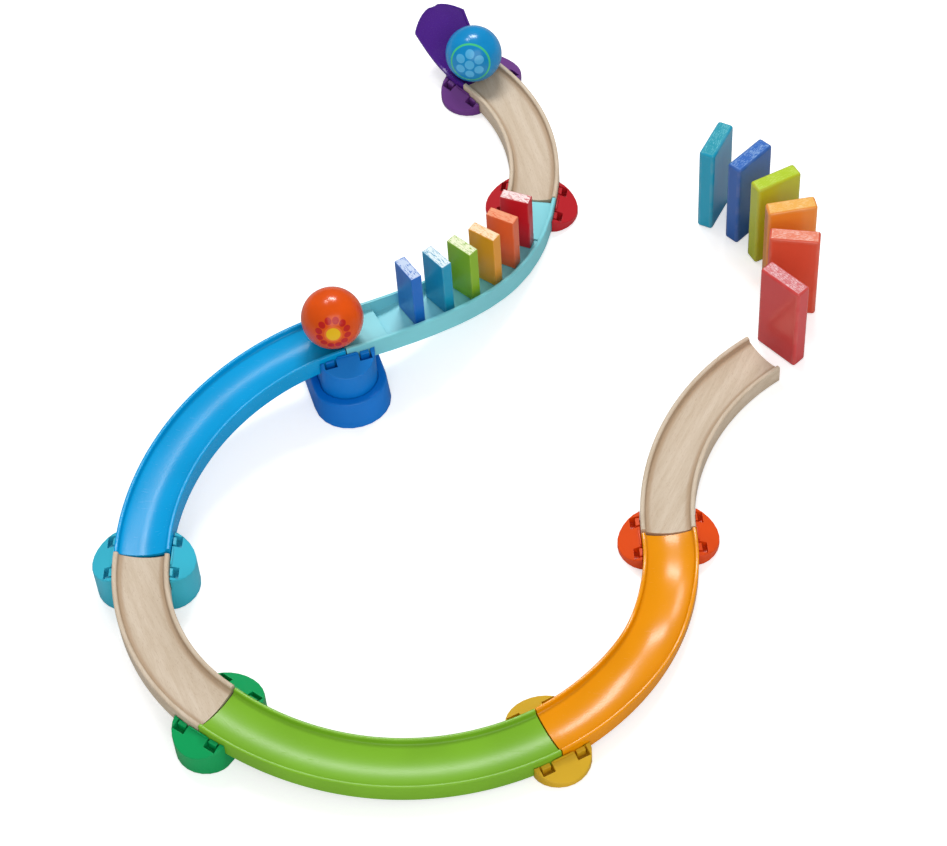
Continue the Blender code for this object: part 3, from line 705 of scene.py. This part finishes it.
def end_grain(name, ground, streak, share, heading):
    """Sawn ends with streaks along a heading. A larger share gives more of them."""
    look, tree, shader, place = new_look(name)
    turned = node(tree, "Mapping", None, {"Vector": place, "Rotation": (0, 0, -heading)}).outputs["Vector"]
    hatch = noise(tree, stretched(tree, turned, *HATCH), detail=2.0)
    patches = noise(tree, place, END_PATCHES, 2.0)
    marked = math_node(tree, "ADD", math_node(tree, "MULTIPLY", hatch, HATCH_SHARE),
                       math_node(tree, "MULTIPLY", patches, 1.0 - HATCH_SHARE))
    mask = ramp(tree, marked, *(limit - share for limit in STREAK_LIMITS))
    worn = node(tree, "Attribute", {"attribute_name": "worn"}).outputs["Fac"]
    mask = math_node(tree, "ADD", mask, math_node(tree, "MULTIPLY", worn, BORDER))
    tree.links.new(blend(tree, math_node(tree, "MINIMUM", mask, MOST), ground, streak), shader.inputs["Base Color"])
    tree.links.new(ramp(tree, hatch, *NOISE_RANGE, *END_ROUGHNESS), shader.inputs["Roughness"])
    bump(tree, shader, hatch, strength=0.12, depth=0.25 * MM)
    shader.inputs["Specular IOR Level"].default_value = 0.25
    return look


# %% [markdown]
# The block starts as a cube at the domino's size. Its edges are bevelled, and an inset on each broad face makes a
# narrow band next to the edges, which an attribute marks as worn.

# %% Domino blocks
DOMINO_SIZE = {"stair": (8.6 * MM, 22.9 * MM, 50.0 * MM), "floor": (12.5 * MM, 37.4 * MM, 80.0 * MM)}
DOMINO_EDGE = {"stair": 0.6 * MM, "floor": 2.3 * MM}
WORN_BAND = 0.7 * MM


def broad_faces(block):
    """The six large faces of a block."""
    return sorted(block.data.polygons, key=lambda face: face.area)[-6:]


def domino_block(row, colour):
    """A block that stands with the middle of its lower front edge on the origin and faces along X."""
    size = DOMINO_SIZE[row]
    put_down()
    bpy.ops.mesh.primitive_cube_add(size=1)
    block = bpy.context.object
    block.name = block.data.name = row + "_block_" + colour
    block.scale = size
    block.location = (-size[0] / 2, 0, size[2] / 2)
    keep_place(block)
    bpy.ops.object.mode_set(mode="EDIT")
    bpy.ops.mesh.select_mode(type="FACE")
    bpy.ops.mesh.select_all(action="SELECT")
    bpy.ops.mesh.bevel(offset=DOMINO_EDGE[row], segments=5, profile=0.5, affect="EDGES")
    bpy.ops.mesh.select_all(action="DESELECT")
    bpy.ops.object.mode_set(mode="OBJECT")
    for face in broad_faces(block):
        face.select = True
    bpy.ops.object.mode_set(mode="EDIT")
    bpy.ops.mesh.inset(thickness=WORN_BAND, use_individual=True)
    bpy.ops.object.mode_set(mode="OBJECT")
    worn = block.data.attributes.new("worn", "FLOAT", "POINT")
    worn.data.foreach_set("value", [1.0] * len(block.data.vertices))
    for face in broad_faces(block):
        for corner in face.vertices:
            worn.data[corner].value = 0.0
    return block


# %% [markdown]
# Each domino gets its paint, and the faces that look up and down get the end grain. The hinge in the CAD model
# gives the place of the lower front edge and the way the domino faces.

# %% Dominoes
PAINTS = {"stair": {"red": (198, 24, 40), "orange": (230, 102, 52), "amber": (234, 156, 36),
                    "green": (140, 186, 20), "teal": (8, 152, 190), "blue": (20, 108, 200)},
          "floor": {"red": (214, 62, 62), "coral": (228, 84, 54), "amber": (244, 150, 46),
                    "lime": (186, 196, 20), "blue": (34, 95, 178), "teal": (0, 160, 194)}}
ENDS = {"stair": {"red": (246, 224, 222), "orange": (240, 158, 118), "amber": (248, 222, 184),
                  "green": (236, 240, 204), "teal": (226, 240, 246), "blue": (196, 212, 238)},
        "floor": {"red": (212, 112, 116), "coral": (232, 128, 98), "amber": (240, 176, 78),
                  "lime": (176, 204, 22), "blue": (34, 100, 188), "teal": (10, 150, 172)}}
PALE = {"red": 0.62, "coral": 0.5, "amber": 0.32, "lime": 0.26, "blue": 0.42, "teal": 0.36}
STREAKS = {"stair": 0.012, "floor": 0.022}
LACQUER = {"stair": 0.15, "floor": 0.7}
UP_OR_DOWN = 0.9
BLOCK_SMOOTH_ANGLE = math.radians(50)


def domino(row, colour):
    """Makes one domino and stands it on its hinge."""
    cad_node = row + "_domino_" + colour
    hinge = joints[row + "_tip_" + colour]
    heading = math.atan2(-hinge["axis"][0], hinge["axis"][1])
    paint = screen(*PAINTS[row][colour])
    ground = screen(*ENDS[row][colour])
    streak = paint
    if row == "floor":
        streak = screen(*(value + (255 - value) * PALE[colour] for value in ENDS[row][colour]))
    block = domino_block(row, colour)
    block.data.materials.append(painted(row + "_paint_" + colour, paint, LACQUER[row]))
    block.data.materials.append(end_grain(row + "_end_" + colour, ground, streak, STREAKS[row],
                                          heading + math.pi / 2))
    for face in block.data.polygons:
        face.material_index = 1 if abs(face.normal.z) > UP_OR_DOWN else 0
    block.rotation_euler.z = heading
    block.location = hinge["pos_m"]
    keep_place(block)
    bpy.ops.object.shade_smooth_by_angle(angle=BLOCK_SMOOTH_ANGLE)
    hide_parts(cad_node)
    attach(block, cad_node)


for row, colours in PAINTS.items():
    for colour in colours:
        domino(row, colour)
    print("made", len(colours), row, "dominoes")

# %% [markdown]
# The balls are lacquered and carry a simple printed motif. A Mapping node puts the origin in the middle of the
# ball and turns Z towards the motif, so the distance from that axis draws rings and discs, and folding the angle
# round it repeats one dot into a wreath.

# %% Ball looks
PRINT_EDGE = 0.02
FRONT_EDGE = 0.05
SPOTS = 60.0
SPOT_TONE = 0.9
LACQUER_GRAIN = 700.0
LACQUER_ROUGHNESS = (0.20, 0.26)
LACQUER_RIPPLE = 240.0


def distance(tree, x, y):
    """How far a point lies from the origin of a plane."""
    return math_node(tree, "SQRT", math_node(tree, "ADD", math_node(tree, "POWER", x, 2.0),
                                             math_node(tree, "POWER", y, 2.0)))


def ball_look(name, centre, radius, facing, colour, ring, dots, middle):
    """Lacquer with a ring, a wreath of dots and a middle disc, all measured in radii of the ball."""
    look, tree, shader, place = new_look(name)
    turn = Vector(facing).to_track_quat("Z", "Y").to_euler()
    local = node(tree, "Mapping", {"vector_type": "TEXTURE"},
                 {"Vector": place, "Location": centre, "Rotation": turn, "Scale": (radius, radius, radius)})
    axes = node(tree, "SeparateXYZ", None, {"Vector": local.outputs["Vector"]}).outputs
    out = distance(tree, axes["X"], axes["Y"])
    front = ramp(tree, axes["Z"], 0.0, FRONT_EDGE)
    shades = blend(tree, ramp(tree, noise(tree, place, SPOTS), *NOISE_RANGE), colour, shade(colour, SPOT_TONE))

    def print_on(paint, apart, half_width, tint):
        mask = ramp(tree, apart, half_width, half_width + PRINT_EDGE, 1.0, 0.0)
        return blend(tree, math_node(tree, "MULTIPLY", mask, front), paint, tint)

    count, reach, size, tint = dots
    slice_angle = 2 * math.pi / count
    angle = math_node(tree, "ARCTAN2", axes["Y"], axes["X"])
    folded = math_node(tree, "SUBTRACT", math_node(tree, "FLOORED_MODULO", angle, slice_angle), slice_angle / 2)
    along = math_node(tree, "SUBTRACT", math_node(tree, "MULTIPLY", out, math_node(tree, "COSINE", folded)), reach)
    aside = math_node(tree, "MULTIPLY", out, math_node(tree, "SINE", folded))
    shades = print_on(shades, distance(tree, along, aside), size, tint)
    shades = print_on(shades, out, *middle)
    from_ring = math_node(tree, "ABSOLUTE", math_node(tree, "SUBTRACT", out, ring[0]))
    shades = print_on(shades, from_ring, *ring[1:])
    tree.links.new(shades, shader.inputs["Base Color"])
    tree.links.new(ramp(tree, noise(tree, place, LACQUER_GRAIN), *NOISE_RANGE, *LACQUER_ROUGHNESS),
                   shader.inputs["Roughness"])
    bump(tree, shader, noise(tree, place, LACQUER_RIPPLE, 1.0), strength=0.02, depth=0.3 * MM)
    shader.inputs["Coat Weight"].default_value = 0.2
    shader.inputs["Coat Roughness"].default_value = 0.13
    shader.inputs["Specular IOR Level"].default_value = 0.35
    return look


# %% [markdown]
# A ball is turned from a round blank that is held at two opposite points, and each of them keeps a tiny flat. The
# sphere's poles lie on that line, so the points next to the poles are pressed in a little.

# %% Balls
POLE_CAP = 0.994  # in radii, as is the height to which the cap is pressed
PRESSED = 0.9935
BLANK_TURN = 0.3  # how the line through the poles lies, in radians


def ball(name, cad_node, facing, colour, ring, dots, middle):
    """Makes one ball at the place and size of its CAD node."""
    low, high = (Vector(corner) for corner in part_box(cad_node))
    centre = (low + high) / 2
    radius = (high.z - low.z) / 2
    put_down()
    bpy.ops.mesh.primitive_uv_sphere_add(segments=72, ring_count=36, radius=radius)
    piece = bpy.context.object
    piece.name = piece.data.name = name
    for vertex in piece.data.vertices:
        if abs(vertex.co.z) > POLE_CAP * radius:
            vertex.co.z = math.copysign(PRESSED * radius, vertex.co.z)
    piece.rotation_euler = (0, math.pi / 2, BLANK_TURN)
    piece.location = centre
    keep_place(piece)
    bpy.ops.object.shade_smooth()
    piece.data.materials.append(ball_look(name + "_lacquer", centre, radius, facing, colour, ring, dots, middle))
    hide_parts(cad_node)
    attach(piece, cad_node)
    print(name, "radius", round(radius * 1000, 2), "mm")


ball("blue_rolling_ball", "blue_ball", facing=(-0.096, -0.936, 0.338), colour=screen(8, 142, 206),
     ring=(0.68, 0.018, screen(70, 200, 130)), dots=(6, 0.38, 0.15, screen(84, 180, 228)),
     middle=(0.16, screen(84, 180, 228)))
ball("orange_rolling_ball", "orange_ball", facing=(0.125, -0.950, 0.286), colour=screen(232, 84, 4),
     ring=(0.26, 0.02, screen(238, 110, 40)), dots=(12, 0.46, 0.10, screen(196, 28, 22)),
     middle=(0.22, screen(240, 190, 20)))

# %% [markdown]
# The picture was taken on white. The floor is a pale sheet that keeps the soft shadows, and towards the camera it
# adds a little light of its own so that it runs out into white. In reflections it is darker, like a studio hung
# with black cloth, so that glossy pieces keep their full colour.

# %% Floor
FLOOR_SIZE = 8.0
FLOOR_DROP = -0.3 * MM
PAPER = (0.86, 0.86, 0.86, 1.0)
PAPER_MIRRORED = (0.35, 0.35, 0.35, 1.0)
PAPER_GLOW = 0.50
WHITE = (1.0, 1.0, 1.0, 1.0)
put_down()
bpy.ops.mesh.primitive_plane_add(size=FLOOR_SIZE, location=(0, 0, FLOOR_DROP))
floor = bpy.context.object
floor.name = "studio_floor"
paper, tree, shader = new_look("white_paper")[:3]
shader.inputs["Roughness"].default_value = 0.9
shader.inputs["Specular IOR Level"].default_value = 0.0
rays = node(tree, "LightPath").outputs
tree.links.new(blend(tree, rays["Is Glossy Ray"], PAPER, PAPER_MIRRORED), shader.inputs["Base Color"])
seen = math_node(tree, "MAXIMUM", rays["Is Camera Ray"], rays["Is Transmission Ray"])
shader.inputs["Emission Color"].default_value = WHITE
tree.links.new(math_node(tree, "MULTIPLY", seen, PAPER_GLOW), shader.inputs["Emission Strength"])
floor.data.materials.append(paper)
print("made", floor.name)

# %% [markdown]
# The world does the same for the background: the camera sees it white, it lights the pieces less than that, and in
# reflections it is darker still.

# %% World
WORLD_LIGHT = 0.43
WORLD_SEEN = 0.57
WORLD_MIRRORED = 0.30
world = bpy.data.worlds.new("studio")
bpy.context.scene.world = world
world.use_nodes = True
sky = world.node_tree
rays = node(sky, "LightPath").outputs
seen = math_node(sky, "MAXIMUM", rays["Is Camera Ray"], rays["Is Transmission Ray"])
background = sky.nodes["Background"]
background.inputs["Color"].default_value = WHITE
strength = math_node(sky, "ADD", math_node(sky, "MULTIPLY", seen, WORLD_SEEN), WORLD_LIGHT)
mirrored = math_node(sky, "MULTIPLY", rays["Is Glossy Ray"], WORLD_MIRRORED)
sky.links.new(math_node(sky, "SUBTRACT", strength, mirrored), background.inputs["Strength"])
print("made world", world.name)


# %% [markdown]
# The bright spot on top of each ball says how high the main light stood behind the run. The green and the orange
# channel mirror it as a long sheen. A small panel further left does the same for the low end of the blue channel,
# and a broad one in front fills the shadows.

# %% Lights
def panel(name, place, width, height, power):
    """A flat light that faces the origin."""
    put_down()
    bpy.ops.object.light_add(type="AREA", location=place)
    lamp = bpy.context.object
    lamp.name = name
    lamp.data.shape = "RECTANGLE"
    lamp.data.size = width
    lamp.data.size_y = height
    lamp.data.energy = power
    lamp.rotation_euler = (-Vector(place)).to_track_quat("-Z", "Y").to_euler()


panel("key_panel", (-0.03, 1.60, 2.45), width=1.0, height=0.5, power=37.0)
panel("side_panel", (-0.85, 1.02, 2.45), width=0.4, height=0.4, power=9.0)
panel("fill_panel", (0.9, -3.2, 2.6), width=3.6, height=3.0, power=64.0)
bpy.context.scene.view_settings.view_transform = "Standard"
print("made three panels")
